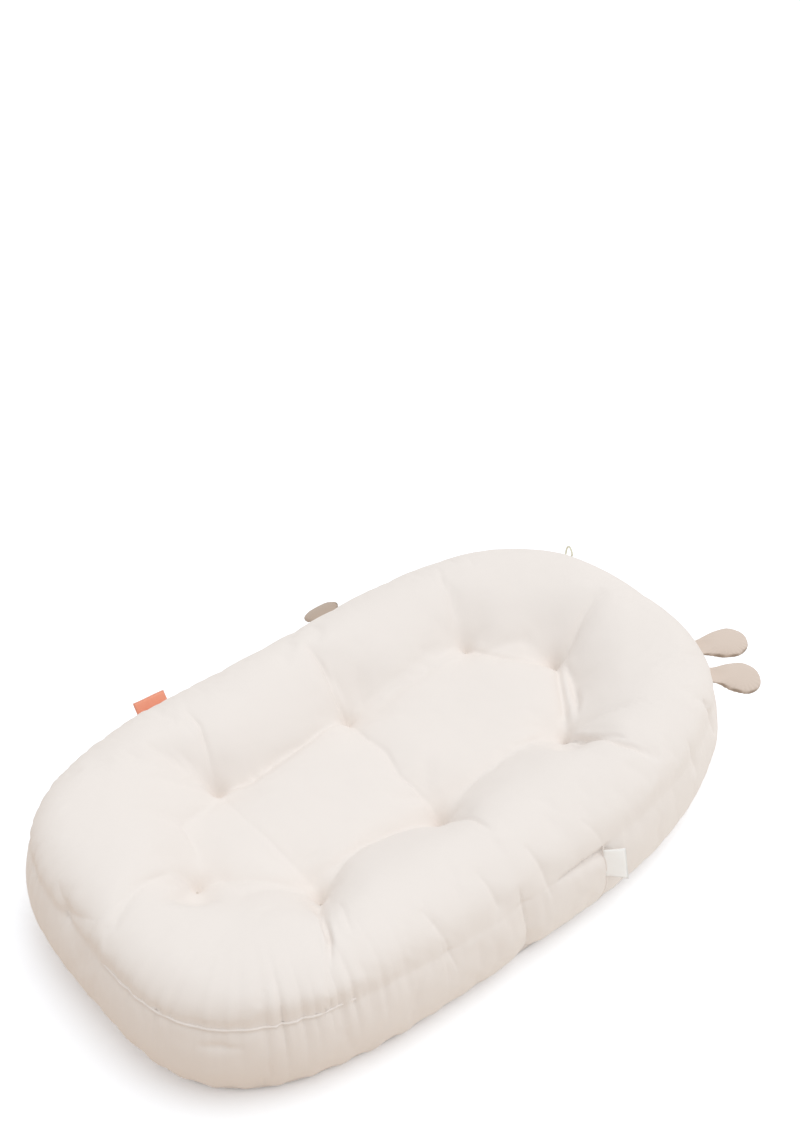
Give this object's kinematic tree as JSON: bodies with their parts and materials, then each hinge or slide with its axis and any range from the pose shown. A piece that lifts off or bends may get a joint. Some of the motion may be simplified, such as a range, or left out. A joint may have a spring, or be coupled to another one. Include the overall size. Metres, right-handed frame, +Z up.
{
  "type": "infant lounger",
  "caption": "Oblong stuffed cotton infant lounger: puffed rim round a tufted bed, boxed side band, padded ears and side flap, folded labels and a cord loop in its seam.",
  "frame": {"origin": "on the floor, under the middle of the cushion's seam outline", "axes": "+X to the head end with the ears, +Y to the side with the flap, +Z up"},
  "size_m": [0.8427, 0.5332, 0.1572],
  "materials": {
    "cotton": "plain woven cotton, ivory, matt",
    "base_cotton": "plain woven cotton, ivory, matt",
    "filling": "white hollow fibre",
    "thread": "twisted sewing thread, ivory",
    "taupe_cotton": "plain woven cotton, taupe, matt",
    "orange_ribbon": "woven ribbon, salmon orange",
    "white_ribbon": "woven ribbon, white",
    "cord": "round twisted cotton cord, pale cream"
  },
  "bodies": {
    "lounger": {"top_panel": "cotton", "base_panel": "base_cotton", "side_band_head": "cotton", "side_band_foot": "cotton", "fibre_filling": "filling", "tuft_tie_1": "thread", "tuft_tie_2": "thread", "tuft_tie_3": "thread", "tuft_tie_4": "thread", "tuft_tie_5": "thread", "tuft_tie_6": "thread", "tuft_tie_7": "thread", "tuft_tie_8": "thread", "top_seam": "cotton", "base_seam": "cotton", "cord_loop": "cord"},
    "ear_1": {"ear_1_upper_cloth": "taupe_cotton", "ear_1_lower_cloth": "taupe_cotton", "ear_1_wadding": "filling"},
    "ear_2": {"ear_2_upper_cloth": "taupe_cotton", "ear_2_lower_cloth": "taupe_cotton", "ear_2_wadding": "filling"},
    "side_flap": {"side_flap_upper_cloth": "taupe_cotton", "side_flap_lower_cloth": "taupe_cotton", "side_flap_wadding": "filling"},
    "orange_label": {"orange_label": "orange_ribbon"},
    "white_label": {"white_label": "white_ribbon"}
  },
  "joints": [
    {"name": "ear_1_bend", "type": "hinge", "parent": "lounger", "child": "ear_1", "pos_m": [0.37955, -0.09133, 0.11376], "axis": [-0.3398, -0.9405, -0.0017], "range_deg": [-45, 80], "stiffness_Nm_per_rad": 0.02, "springref_deg": 0.44},
    {"name": "ear_2_bend", "type": "hinge", "parent": "lounger", "child": "ear_2", "pos_m": [0.3588, -0.13207, 0.11363], "axis": [-0.6062, -0.7953, -0.0045], "range_deg": [-45, 80], "stiffness_Nm_per_rad": 0.02, "springref_deg": 0.44},
    {"name": "side_flap_bend", "type": "hinge", "parent": "lounger", "child": "side_flap", "pos_m": [0.08607, 0.23261, 0.10425], "axis": [0.9991, -0.0155, 0.0405], "range_deg": [-45, 80], "stiffness_Nm_per_rad": 0.02, "springref_deg": 0.32},
    {"name": "orange_label_bend", "type": "hinge", "parent": "lounger", "child": "orange_label", "pos_m": [-0.1635, 0.22615, 0.10827], "axis": [0.9946, 0.0904, -0.0508], "range_deg": [-95, 20], "stiffness_Nm_per_rad": 0.0006, "springref_deg": 0.07},
    {"name": "white_label_bend", "type": "hinge", "parent": "lounger", "child": "white_label", "pos_m": [0.08931, -0.23633, 0.0837], "axis": [-0.0072, 0.2184, 0.9758], "range_deg": [-100, 35], "stiffness_Nm_per_rad": 0.0006}
  ]
}
